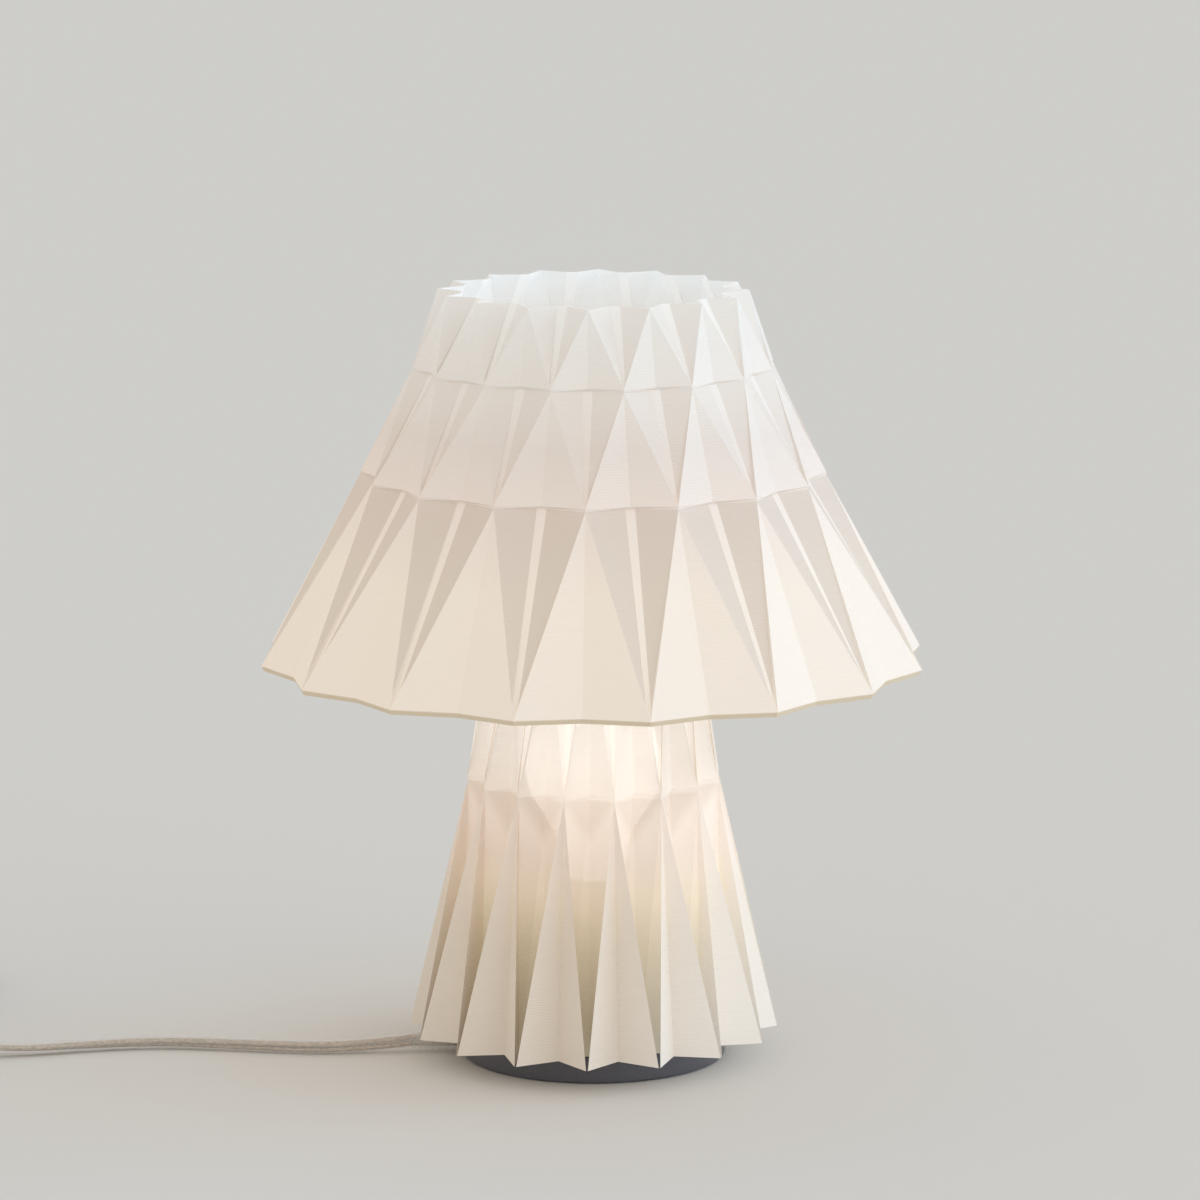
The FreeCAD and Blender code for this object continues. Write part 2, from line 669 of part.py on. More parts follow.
def shade_carrier():
    """A hub on the base shell's neck, and three arms up to the ring that the shade sits on."""
    hub = cut(
        cylinder("hub_outer_radius", "hub_thickness", z="neck_height"),
        cylinder("neck_ring_radius", "hub_thickness", z="neck_height"),
        *drilled("small_screw_radius + screw_gap", "hub_thickness", "neck_screw_circle",
                 "neck_height", first=size("neck_screw_turn")),
    )
    ring_bottom = "seat_height - seat_ring_height"
    seat = ring_between(seat_ring_radius, f"{seat_ring_radius} - seat_ring_width",
                        "seat_ring_height", ring_bottom)
    hub_top = "neck_height + hub_thickness"
    profile = [
        ("hub_outer_radius - 2", "neck_height"), ("arm_foot_radius", "neck_height"),
        (f"{seat_ring_radius} - 1", ring_bottom), (f"{seat_ring_radius} - 1", "seat_height"),
        (f"{seat_ring_radius} - seat_ring_width", "seat_height"),
        ("arm_foot_radius - arm_thickness", hub_top), ("hub_outer_radius - 2", hub_top),
    ]
    upright = FreeCAD.Rotation(FreeCAD.Vector(1, 0, 0), 90)
    arms = []
    for turn in (90, 210, 330):
        around = FreeCAD.Rotation(FreeCAD.Vector(0, 0, 1), turn)
        side = around.multVec(FreeCAD.Vector(0, size("arm_width") / 2, 0))
        arms.append(extruded("arm", profile, "arm_width",
                             FreeCAD.Placement(side, around.multiply(upright))))
    keep("shade_carrier", fuse(hub, seat, *arms))


def shell_fasteners():
    keep("shell_screws", screws("screw_radius", "screw_length", "screw_head_radius",
                                "screw_head_height", circle_spots("screw_circle", 90),
                                "puck_top + floor_thickness"))
    spots = circle_spots("neck_screw_circle", size("neck_screw_turn"))
    length = "hub_thickness + neck_ring_thickness + small_nut_height + 0.6"
    keep("carrier_screws", screws("small_screw_radius", length, "small_head_radius",
                                  "small_head_height", spots, "neck_height + hub_thickness"))
    nut_bottom = "neck_height - neck_ring_thickness - small_nut_height"
    keep("carrier_nuts", group(*[
        hexagon("small_nut_flats", "small_nut_height", nut_bottom,
                "small_screw_radius + thread_gap", x, y) for x, y in spots
    ]))


# The mains lead.

def rounded_path(route):
    """Straight runs with a tangent arc at every corner, as large as the runs allow."""
    spots = [FreeCAD.Vector(*spot) for spot in route]
    edges = []
    radii = []
    start = spots[0]
    for before, here, after in zip(spots, spots[1:], spots[2:]):
        arriving = (here - before).normalize()
        leaving = (after - here).normalize()
        half = arriving.getAngle(leaving) / 2
        reach = 0.45 * min(here.distanceToPoint(before), here.distanceToPoint(after))
        radius = reach / math.tan(half)
        radii.append(radius)
        first, last = here - arriving * reach, here + leaving * reach
        inward = (leaving - arriving).normalize()
        middle = here + inward * (radius / math.cos(half) - radius)
        edges.append(Part.LineSegment(start, first).toShape())
        edges.append(Part.Arc(first, middle, last).toShape())
        start = last
    edges.append(Part.LineSegment(start, spots[-1]).toShape())
    return Part.Wire(edges), radii


def tube_along(name, route, radius):
    path, radii = rounded_path(route)
    start = FreeCAD.Vector(*route[0])
    ahead = FreeCAD.Vector(*route[1]) - start
    section = Part.Wire(Part.Circle(start, ahead, radius).toShape())
    solid = path.makePipeShell([section], True, True)
    share = solid.Volume / (math.pi * radius ** 2 * path.Length)
    print(f"{name}: length {path.Length:.1f}, smallest radius {min(radii):.1f}, "
          f"volume is {share:.4f} of section times length")
    return made(name, solid)


def core_route(side):
    """One of the two cores, from the grip through the stem up to its terminal screw."""
    offset = size("core_offset") * side
    low = size("pad_thickness") + size("core_radius") + 0.1
    high = sum(size(name) for name in ("puck_top", "pedestal_height", "cup_wall",
                                       "insert_bottom"))
    terminal = side * (size("terminal_side") - size("terminal_radius") - 0.4)
    return [
        (0.3 - size("grip_inner"), size("cord_side") + offset, size("cord_height")),
        (-8.6, size("cord_side") * 0.3 + offset, low + 0.2), (1.8, offset, low),
        (1.2, offset * 1.05, high / 2), (0, offset * 1.2, high - 4.1),
        (0, terminal, high - 1.3),
    ]


def lead():
    """Strain relief, the lead in its four stretches, its coil and the coil's tie."""
    reach = "puck_radius + relief_length"
    keep("cord_relief", cut(
        fuse(
            cone("relief_end_radius", "relief_radius", "relief_length",
                 f"0 - ({reach})", "cord_side", "cord_height", along="x"),
            cylinder("relief_plug_radius", "relief_plug_length",
                     "0 - puck_radius", "cord_side", "cord_height", along="x"),
        ),
        cylinder("cord_radius + cord_gap", "relief_length + relief_plug_length",
                 f"0 - ({reach})", "cord_side", "cord_height", along="x"),
    ))
    keep("cord_inlet", cylinder("cord_radius", f"{reach} - grip_inner",
                                f"0 - ({reach})", "cord_side", "cord_height", along="x"))
    keep("lead_cores", group(*[
        tube_along("core", core_route(side), size("core_radius")) for side in (-1, 1)
    ]))
    radius = size("cord_radius")
    keep("cord_lead", tube_along("lead", lead_route, radius))
    keep("cord_middle", tube_along("middle", middle_route, radius))
    keep("cord_tail", tube_along("tail", tail_route, radius))
    width, height = "coil_rows * cord_radius", "coil_layers * 2 * cord_radius"
    ring = cut(
        cylinder(f"coil_turn_radius + {width}", height, "coil_x", "coil_y", "coil_lift"),
        cylinder(f"coil_turn_radius - {width}", height, "coil_x", "coil_y", "coil_lift"),
    )
    keep("cord_coil", ring)
    around = "coil_rows * 2 * cord_radius + 1.2"
    over = f"{height} + coil_lift - tie_thickness + 0.1"
    tie_x = "coil_x + coil_turn_radius - 0.35"
    keep("coil_tie", cut(
        block(f"{around} + 2 * tie_thickness", "tie_width", f"{over} + 2 * tie_thickness",
              tie_x, "coil_y"),
        block(around, "tie_width", over, tie_x, "coil_y", "tie_thickness"),
    ))


def stadium(inward, height, z):
    """The switch's rounded outline, drawn in by some distance."""
    radius = f"switch_width / 2 - {inward}"
    straight = "(switch_length - switch_width) / 2"
    return fuse(
        block(f"2 * {straight}", f"2 * ({radius})", height, "switch_x", "switch_y", z),
        cylinder(radius, height, f"switch_x - {straight}", "switch_y", z),
        cylinder(radius, height, f"switch_x + {straight}", "switch_y", z),
    )


def switch():
    """The inline switch: two halves, a rocker on a pin, contacts and two screws."""
    posts = [(f"switch_x - post_x * {side}", f"switch_y + post_y * {side}")
             for side in (-1, 1)]
    lower_room = "switch_split - switch_wall"
    cavity = stadium("switch_wall", lower_room, "switch_wall")
    lower_posts = [cylinder("switch_post_radius", lower_room, x, y, "switch_wall")
                   for x, y in posts]
    shafts = [cylinder("small_screw_radius + screw_gap", "switch_split", x, y)
              for x, y in posts]
    recesses = [cylinder("small_head_radius + screw_gap", "small_head_height", x, y)
                for x, y in posts]
    lead_way = cylinder("cord_radius + cord_gap", "switch_length + 2",
                        "switch_x - switch_length / 2 - 1", "switch_y", "switch_cord_height",
                        along="x")
    base = fuse(cut(stadium("0", "switch_split", "0"), cavity), *lower_posts)
    keep("switch_base", cut(base, lead_way, *shafts, *recesses))

    upper = "switch_height - switch_split"
    upper_room = f"{upper} - switch_wall"
    cover = cut(stadium("0", upper, "switch_split"),
                stadium("switch_wall", upper_room, "switch_split"))
    boss_y = "rocker_width / 2 + rocker_gap + boss_thickness / 2"
    bosses = [block("4 * rocker_pin_radius", "boss_thickness", upper_room, "switch_x",
                    f"switch_y + ({boss_y}) * {side}", "switch_split") for side in (-1, 1)]
    upper_posts = [cylinder("switch_post_radius", upper_room, x, y, "switch_split")
                   for x, y in posts]
    window = block("2 * (rocker_radius + rocker_gap)", "rocker_width + 2 * rocker_gap",
                   "switch_wall", "switch_x", "switch_y", "switch_height - switch_wall")
    threads = [cylinder("small_screw_radius + thread_gap", f"{upper_room} - 1", x, y,
                        "switch_split") for x, y in posts]
    span = "rocker_width + 2 * rocker_gap + 2 * boss_thickness"
    pin_hole = cylinder("rocker_pin_radius + thread_gap", span, "switch_x",
                        f"switch_y - ({span}) / 2", "switch_split + rocker_pin_radius * 2",
                        along="y")
    keep("switch_cover", cut(fuse(cover, *bosses, *upper_posts), window, *threads, pin_hole))
    keep("switch_screws", group(*[
        fuse(cylinder("small_screw_radius", f"switch_split + {upper_room} - 2", x, y, "0.4"),
             cylinder("small_head_radius", "small_head_height - 0.4", x, y, "0.4"))
        for x, y in posts
    ]))
    keep("rocker_pin", cylinder("rocker_pin_radius", span, "switch_x",
                                f"switch_y - ({span}) / 2",
                                "switch_split + rocker_pin_radius * 2", along="y"))
    keep("switch_contacts", group(*[
        block("contact_length", "contact_width", "contact_height",
              f"switch_x + contact_x * {side}", "switch_y", "switch_wall")
        for side in (-1, 1)
    ]))
    rocker(span)


def rocker(span):
    """The rocker on its pin, pressed level on the left, where its right half stands up."""
    pin = "switch_split + rocker_pin_radius * 2"
    drum = cylinder("rocker_radius", "rocker_width", "switch_x",
                    "switch_y - rocker_width / 2", pin, along="y")
    upright = FreeCAD.Rotation(FreeCAD.Vector(1, 0, 0), 90)
    placement = FreeCAD.Placement(FreeCAD.Vector(0, 0, 0), upright)
    profile = [
        ("switch_x - rocker_radius", f"{pin} - 3"), ("switch_x + rocker_radius", f"{pin} - 3"),
        ("switch_x + rocker_radius",
         f"{pin} + rocker_rise + rocker_radius * tan(rocker_travel)"),
        ("switch_x", f"{pin} + rocker_rise"),
        ("switch_x - rocker_radius", f"{pin} + rocker_rise"),
    ]
    wedge = extruded("wedge", profile, "rocker_width", placement)
    bind(wedge.Base, Placement__Base__y="switch_y + rocker_width / 2")
    hole = cylinder("rocker_pin_radius + thread_gap", span, "switch_x",
                    f"switch_y - ({span}) / 2", pin, along="y")
    keep("switch_rocker", cut(common(drum, wedge), hole))


def plug():
    """A flat two-pin plug with a tapered boot."""
    axis = "plug_height / 2"
    body_back = "plug_boot_start - plug_boot_length"
    face = f"{body_back} - plug_body_length"
    keep("plug_boot", cone("boot_end_radius", "boot_tip_radius", "plug_boot_length",
                           "plug_x", body_back, axis, along="y"))
    half = [("plug_face_width", face), ("plug_width", f"{face} + plug_shoulder"),
            ("plug_width", f"{face} + plug_body_length - plug_waist"),
            ("plug_neck_width", body_back)]
    profile = [(f"plug_x + {width} / 2", y) for width, y in half]
    profile += [(f"plug_x - {width} / 2", y) for width, y in reversed(half)]
    prism = extruded("plug_form", profile, "plug_height", FreeCAD.Placement())
    sides = [f"plug_x + pin_spacing / 2 * {side}" for side in (-1, 1)]
    sockets = [cylinder("pin_root_radius + thread_gap", "pin_root", x, face, axis, along="y")
               for x in sides]
    keep("plug_body", cut(prism, *sockets))
    keep("plug_pins", group(*[
        fuse(cylinder("pin_radius", "pin_length", x, f"{face} - pin_length", axis, along="y"),
             cylinder("pin_root_radius", "pin_root", x, face, axis, along="y"))
        for x in sides
    ]))


for build in (foot, stem, base_shell, shell_fasteners, lampholder, bulb, shade_carrier,
              shade_shell, lead, switch, plug):
    build()
document.recompute()

faults = [f"{thing.Name}: {', '.join(thing.State)}" for thing in document.Objects
          if "Invalid" in thing.State or "Error" in thing.State]
faults += [f"{label}: shape is not valid" for label, thing in parts.items()
           if thing.Shape.isNull() or not thing.Shape.isValid() or not thing.Shape.Solids]
if faults:
    raise RuntimeError("\n".join(faults))

os.makedirs("parts", exist_ok=True)
for label, thing in parts.items():
    thing.Shape.exportStep(f"parts/{label}.step")
print(f"{len(parts)} parts")
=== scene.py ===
import bpy
import bmesh
import math
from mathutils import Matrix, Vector


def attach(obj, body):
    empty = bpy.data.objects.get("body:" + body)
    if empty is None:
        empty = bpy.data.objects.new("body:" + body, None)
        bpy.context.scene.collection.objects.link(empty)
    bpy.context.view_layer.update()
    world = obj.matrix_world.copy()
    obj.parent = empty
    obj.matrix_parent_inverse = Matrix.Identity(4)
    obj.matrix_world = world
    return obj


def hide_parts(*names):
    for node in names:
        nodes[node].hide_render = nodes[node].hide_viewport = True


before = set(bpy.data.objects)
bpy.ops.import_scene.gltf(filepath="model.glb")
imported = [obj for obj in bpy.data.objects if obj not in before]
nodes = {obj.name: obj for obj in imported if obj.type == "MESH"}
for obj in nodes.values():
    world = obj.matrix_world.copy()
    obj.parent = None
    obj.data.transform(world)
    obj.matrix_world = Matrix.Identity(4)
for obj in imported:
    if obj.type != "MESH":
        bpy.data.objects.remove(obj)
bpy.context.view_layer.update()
print("frame loaded")


def clearSelection():
    if bpy.context.object and bpy.context.object.mode != "OBJECT":
        bpy.ops.object.mode_set(mode="OBJECT")
    bpy.ops.object.select_all(action="DESELECT")


# camera, floor and light

view = {
    "place": (0.002861, -2.5634, 0.6778),
    "tilt": 79.48,
    "lens": 179.95,
    "sensor": 36,
    "farthest": 100,
    "floorSize": 40,
    "floorColour": (0.722, 0.690, 0.653),
    "floorRoughness": 0.9,
    # the room's light from either side, and where it starts and stops to change
    "skyLeft": (0.84, 0.815, 0.765),
    "skyRight": (0.70, 0.752, 0.797),
    "skyEdges": (0.1, 0.9),
    # each soft lamp: strength, colour, turn and softness in degrees
    "lamps": {
        "window_right": (0.49, (1.0, 1.0, 0.985), (77, 0, 56), 60),
        "window_back": (0.67, (0.51, 0.75, 1.0), (72, 0, 104), 40),
        "window_low": (0.52, (0.69, 0.84, 1.0), (86, 0, 82), 40),
    },
}


def setCamera():
    clearSelection()
    bpy.ops.object.camera_add(location=view["place"], rotation=(math.radians(view["tilt"]), 0, 0))
    camera = bpy.context.object
    camera.data.lens = view["lens"]
    camera.data.sensor_width = view["sensor"]
    camera.data.clip_end = view["farthest"]
    bpy.context.scene.camera = camera


def setLight():
    world = bpy.data.worlds.new("studio")
    bpy.context.scene.world = world
    world.use_nodes = True
    # the room is warmer on the left and cooler on the right
    tree = world.node_tree
    way = tree.nodes.new("ShaderNodeTexCoord")
    split = tree.nodes.new("ShaderNodeSeparateXYZ")
    blend = tree.nodes.new("ShaderNodeValToRGB")
    shift = tree.nodes.new("ShaderNodeMapRange")
    shift.inputs["From Min"].default_value = -1
    sides = zip(blend.color_ramp.elements, (view["skyLeft"], view["skyRight"]), view["skyEdges"])
    for element, colour, edge in sides:
        element.color = (*colour, 1)
        element.position = edge
    tree.links.new(way.outputs["Generated"], split.inputs["Vector"])
    tree.links.new(split.outputs["X"], shift.inputs["Value"])
    tree.links.new(shift.outputs["Result"], blend.inputs["Fac"])
    tree.links.new(blend.outputs["Color"], tree.nodes["Background"].inputs["Color"])
    for name, (strength, colour, turn, softness) in view["lamps"].items():
        clearSelection()
        bpy.ops.object.light_add(type="SUN", rotation=[math.radians(angle) for angle in turn])
        lamp = bpy.context.object
        lamp.name = name
        lamp.data.energy = strength
        lamp.data.color = colour
        lamp.data.angle = math.radians(softness)
    bpy.context.scene.view_settings.view_transform = "Standard"


def setFloor():
    clearSelection()
    bpy.ops.mesh.primitive_plane_add(size=view["floorSize"], location=(0, 0, 0))
    floor = bpy.context.object
    floor.name = "floor"
    plain = bpy.data.materials.new("floor_card")
    plain.use_nodes = True
    card = plain.node_tree.nodes["Principled BSDF"]
    card.inputs["Base Color"].default_value = (*view["floorColour"], 1)
    card.inputs["Roughness"].default_value = view["floorRoughness"]
    card.inputs["Specular IOR Level"].default_value = 0
    floor.data.materials.append(plain)


setCamera()
setLight()
setFloor()
print("camera, light and floor set")


# shader helpers

class Value:
    # one output of a node, which takes part in Python arithmetic
    def __init__(self, look, socket):
        self.look = look
        self.socket = socket

    def worked(self, operation, *values):
        inputs = {index: value for index, value in enumerate(values)}
        return self.look.add("ShaderNodeMath", {"operation": operation}, inputs)

    def __add__(self, other):
        return self.worked("ADD", self, other)

    def __radd__(self, other):
        return self.worked("ADD", other, self)

    def __sub__(self, other):
        return self.worked("SUBTRACT", self, other)

    def __rsub__(self, other):
        return self.worked("SUBTRACT", other, self)

    def __mul__(self, other):
        return self.worked("MULTIPLY", self, other)

    def __truediv__(self, other):
        return self.worked("DIVIDE", self, other)

    def __pow__(self, other):
        return self.worked("POWER", self, other)

    def __abs__(self):
        return self.worked("ABSOLUTE", self)

    def between(self, low, high):
        # 0 below low, 1 above high, smooth in the middle
        return self.look.add(
            "ShaderNodeMapRange", {"interpolation_type": "SMOOTHSTEP"},
            {"Value": self, "From Min": low, "From Max": high, "To Min": 0.0, "To Max": 1.0})


class Look:
    # a material under way, with its Principled shader at hand
    def __init__(self, name):
        self.material = bpy.data.materials.new(name)
        self.material.use_nodes = True
        self.tree = self.material.node_tree
        self.surface = self.tree.nodes["Principled BSDF"]
        self.place = self.add("ShaderNodeTexCoord", output="Object")

    def put(self, socket, value):
        if isinstance(value, Value):
            self.tree.links.new(value.socket, socket)
        elif isinstance(value, tuple) and len(value) == 3 and socket.type == "RGBA":
            socket.default_value = (*value, 1)
        else:
            socket.default_value = value

    def add(self, kind, settings=None, inputs=None, output=0):
        node = self.tree.nodes.new(kind)
        for key, value in (settings or {}).items():
            if key == "stops":
                ramp = node.color_ramp
                for spot, colour in value[1:-1]:
                    ramp.elements.new(spot)
                for element, (spot, colour) in zip(ramp.elements, value):
                    element.position = spot
                    element.color = (*colour, 1)
            else:
                setattr(node, key, value)
        for name, value in (inputs or {}).items():
            self.put(node.inputs[name], value)
        return Value(self, node.outputs[output])

    def give(self, **sockets):
        for name, value in sockets.items():
            self.put(self.surface.inputs[name.replace("_", " ")], value)

    def parts(self, vector):
        split = self.add("ShaderNodeSeparateXYZ", None, {"Vector": vector})
        return [Value(self, output) for output in split.socket.node.outputs]

    def noise(self, scale, detail=2.0, place=None):
        return self.add("ShaderNodeTexNoise", None, {
            "Vector": place or self.place, "Scale": scale, "Detail": detail})

    def stretched(self, scale):
        return self.add("ShaderNodeMapping", None, {"Vector": self.place, "Scale": scale})

    def mixed(self, share, low, high):
        node = self.tree.nodes.new("ShaderNodeMix")
        node.data_type = "RGBA"
        self.put(node.inputs[0], share)
        self.put(node.inputs[6], low)
        self.put(node.inputs[7], high)
        return Value(self, node.outputs[2])

    def tinted(self, colour, share):
        # a colour times a number that varies
        return self.add("ShaderNodeVectorMath", {"operation": "SCALE"},
                        {0: colour, "Scale": share})

    def bumps(self, height, distance, strength=1.0):
        bump = self.add("ShaderNodeBump", None,
                        {"Height": height, "Distance": distance, "Strength": strength})
        self.put(self.surface.inputs["Normal"], bump)
        return self


def dress(piece, look):
    piece.data.materials.clear()
    piece.data.materials.append(look.material)


# the printed shells

print3d = {
    "layer": 0.0011,
    "layerDepth": 0.00005,
    "layerShade": 0.012,
    # how far the lines wander, and how much of them is left where they are faint
    "wander": 0.0003,
    "faintest": 0.4,
    "roughness": 0.5,
    "gloss": 0.3,
    "bumpStrength": 0.6,
}


def layerLines(look, height):
    # fine level lines, each a layer of the print, a little uneven
    drift = look.noise(9.0, 1.0) - 0.5
    turns = (height + drift * print3d["wander"]) * (2 * math.pi / print3d["layer"])
    wave = turns.worked("SINE", turns)
    patches = look.noise(38.0, 3.0).between(0.3, 0.75)
    return wave * (patches * (1 - print3d["faintest"]) + print3d["faintest"])


def facetMarks(look):
    # how steeply a facet leans, on either skin, how straight it looks out from the axis,
    # and whether it is on the outer skin
    x, y, z = look.parts(look.place)
    across, along, up = look.parts(look.add("ShaderNodeTexCoord", output="Normal"))
    level = (across * across + along * along) ** 0.5
    outward = (x * across + y * along) / ((x * x + y * y) ** 0.5)
    lean = up * outward.worked("SIGN", outward)
    return z, lean, abs(outward) / level, outward


def printedFinish(look, lines):
    look.give(Roughness=print3d["roughness"], Specular_IOR_Level=print3d["gloss"],
              Emission_Strength=1.0)
    return look.bumps(lines, print3d["layerDepth"], print3d["bumpStrength"])


def fromBulb(look, source):
    # how squarely a facet looks at the bulb, whichever side it is on
    away = look.add("ShaderNodeVectorMath", {"operation": "SUBTRACT"}, {0: look.place, 1: source})
    aim = look.add("ShaderNodeVectorMath", {"operation": "NORMALIZE"}, {0: away})
    normal = look.add("ShaderNodeTexCoord", output="Normal")
    return abs(look.add("ShaderNodeVectorMath", {"operation": "DOT_PRODUCT"},
                        {0: aim, 1: normal}, output="Value"))


shade = {
    "bulbPlace": (0, 0, 0.165),
    "rim": 0.175,
    "height": 0.163,
    "colour": (0.80, 0.75, 0.70),
    # painted shade in the hollows: a darker colour and less glow where they lie sunk
    "hollowShadowColour": (0.70, 0.62, 0.55),
    # painted light on the inner skin near the crown: a cooler colour and added glow
    "innerCoolLightColour": (0.72, 0.77, 0.81),
    # painted shade on the narrow band at the rim that faces down: a darker tan and less glow
    "hemShadowColour": (0.74, 0.63, 0.48),
    "hemHeight": 0.1773,
    "hemEdge": 0.0006,
    "hemShade": 0.75,
    # the bulb's light through the print, from the rim to the crown
    "glow": [(0.0, (0.19, 0.13, 0.07)), (0.3, (0.19, 0.13, 0.07)), (0.5, (0.14, 0.075, 0.045)),
             (0.65, (0.09, 0.045, 0.025)), (0.85, (0.16, 0.152, 0.142)),
             (1.0, (0.19, 0.203, 0.208))],
    "hollowGlow": 0.55,
    "innerGlow": 0.70,
    "ledgeGlow": 0.12,
    # hollows lean over more than the triangles, and strips look straight out
    "hollowLean": (0.43, 0.48),
    "stripStraight": (0.985, 0.995),
    "ledgeLean": (0.04, 0.1),
    # from here up the painted shade in the hollows fades
    "paleHeights": (0.25, 0.275),
    "paleShare": 0.6,
    "innerHeights": (0.27, 0.335),
    "clearHeights": (0.305, 0.338),
    "clearShare": 0.22,
}


def shadeLook():
    look = Look("printed_shade")
    z, lean, straight, outward = facetMarks(look)
    lines = layerLines(look, z)
    hollow = lean.between(*shade["hollowLean"])
    strip = hollow * straight.between(*shade["stripStraight"])
    # painted shade on the hollows' facets, less of it towards the crown
    shadedHollow = (hollow - strip) * (1 - z.between(*shade["paleHeights"]) * shade["paleShare"])
    ledge = (0 - lean).between(*shade["ledgeLean"])
    tone = look.add("ShaderNodeValToRGB", {"stops": shade["glow"]},
                    {"Fac": (z - shade["rim"]) / shade["height"]})
    cloud = look.noise(14.0, 3.0) * 0.12 + 0.94
    glow = fromBulb(look, shade["bulbPlace"]) ** 0.5 * cloud * (lines * print3d["layerShade"] + 1)
    glow = glow * (1 - shadedHollow * (1 - shade["hollowGlow"])) + ledge * shade["ledgeGlow"]
    # painted shade on the hem band
    hem = 1 - z.between(shade["hemHeight"] - shade["hemEdge"], shade["hemHeight"])
    glow = glow * (1 - hem * shade["hemShade"])
    # painted light on the inner skin, high up
    inside = (0 - outward).between(0.0, 0.1) * z.between(*shade["innerHeights"])
    glow = glow + inside * shade["innerGlow"]
    colour = look.mixed(shadedHollow, shade["colour"], shade["hollowShadowColour"])
    colour = look.mixed(inside, colour, shade["innerCoolLightColour"])
    look.give(Base_Color=look.mixed(hem, colour, shade["hemShadowColour"]),
              Emission_Color=look.tinted(tone, glow),
              Alpha=1 - z.between(*shade["clearHeights"]) * shade["clearShare"])
    return printedFinish(look, lines)


base = {
    "bulbPlace": (0, 0, 0.128),
    "foot": 0.012,
    "height": 0.184,
    "colour": (0.79, 0.70, 0.61),
    # the bulb's light through the print, from the foot to the neck
    "glow": [(0.0, (0.11, 0.10, 0.075)), (0.25, (0.165, 0.145, 0.11)),
             (0.45, (0.26, 0.225, 0.20)), (0.58, (0.26, 0.235, 0.22)),
             (0.62, (0.235, 0.235, 0.23)), (0.72, (0.26, 0.285, 0.295)),
             (1.0, (0.34, 0.375, 0.39))],
    # the folds between the leaves, near the axis and low down: painted shadow of the cup below
    # the bulb, a darker colour there
    "foldShadowColour": (0.73, 0.65, 0.51),
    "foldGlow": 0.75,
    "foldClear": 0.03,
    "foldRadii": (0.056, 0.064),
    "foldHeights": (0.075, 0.10),
    # the hollows above the waist
    "aboveWaist": (0.1256, 0.127),
    "hollowLean": (0.12, 0.17),
    "hollowGlow": 0.3,
    "ledgeLean": (0.1, 0.2),
    "ledgeGlow": 0.1,
    # painted shadow under the ledge: brown points that hang from it between the tops of the
    # leaves, with less glow there
    "ledgeShadowColour": (0.62, 0.47, 0.34),
    "shadowTip": 0.105,
    "shadowSlope": 0.35,
    "shadowRadius": 0.0495,
    "shadowEdge": (-0.0015, 0.003),
    "shadowHeights": (0.1225, 0.1245),
    "ledgeShadowShare": 0.26,
    # daylight that shines through the leaves on the window's side
    "daylight": (0.12, 0.145, 0.165),
    "daylightAcross": (-0.01, 0.07),
    "daylightHeights": (0.11, 0.14),
    "clearHeights": (0.03, 0.13),
    "alpha": 0.78,
}


def baseLook():
    look = Look("printed_base")
    z, lean = facetMarks(look)[:2]
    x, y = look.parts(look.place)[:2]
    lines = layerLines(look, z)
    radius = (x * x + y * y) ** 0.5
    deep = 1 - radius.between(*base["foldRadii"])
    # painted shadow in the deep folds low down
    fold = deep * (1 - z.between(*base["foldHeights"]))
    hollow = z.between(*base["aboveWaist"]) * lean.between(*base["hollowLean"])
    ledge = (0 - lean).between(*base["ledgeLean"])
    # painted shadow under the ledge, in points between the tops of the leaves
    point = (z - base["shadowTip"]) * base["shadowSlope"] + base["shadowRadius"] - radius
    ledgeShadow = point.between(*base["shadowEdge"]) * (1 - z.between(*base["shadowHeights"]))
    ledgeShadow = ledgeShadow * base["ledgeShadowShare"]
    tone = look.add("ShaderNodeValToRGB", {"stops": base["glow"]},
                    {"Fac": (z - base["foot"]) / base["height"]})
    cloud = look.noise(16.0, 3.0) * 0.14 + 0.93
    glow = fromBulb(look, base["bulbPlace"]) * cloud * (lines * print3d["layerShade"] + 1)
    glow = glow * (1 + hollow * base["hollowGlow"]) * (1 - ledgeShadow)
    glow = glow * (1 + fold * base["foldGlow"]) + ledge * base["ledgeGlow"]
    windowSide = x.between(*base["daylightAcross"]) * (1 - z.between(*base["daylightHeights"]))
    shine = look.add("ShaderNodeVectorMath", {"operation": "ADD"}, {
        0: look.tinted(tone, glow), 1: look.tinted(base["daylight"], windowSide)})
    colour = look.mixed(fold, base["colour"], base["foldShadowColour"])
    clear = z.between(*base["clearHeights"]) * (1 - base["alpha"])
    look.give(Base_Color=look.mixed(ledgeShadow, colour, base["ledgeShadowColour"]), Emission_Color=shine,
              Alpha=1 - clear - fold * base["foldClear"])
    return printedFinish(look, lines)


dress(nodes["shade_shell"], shadeLook())
dress(nodes["base_shell"], baseLook())
print("printed shells dressed")


# the lead

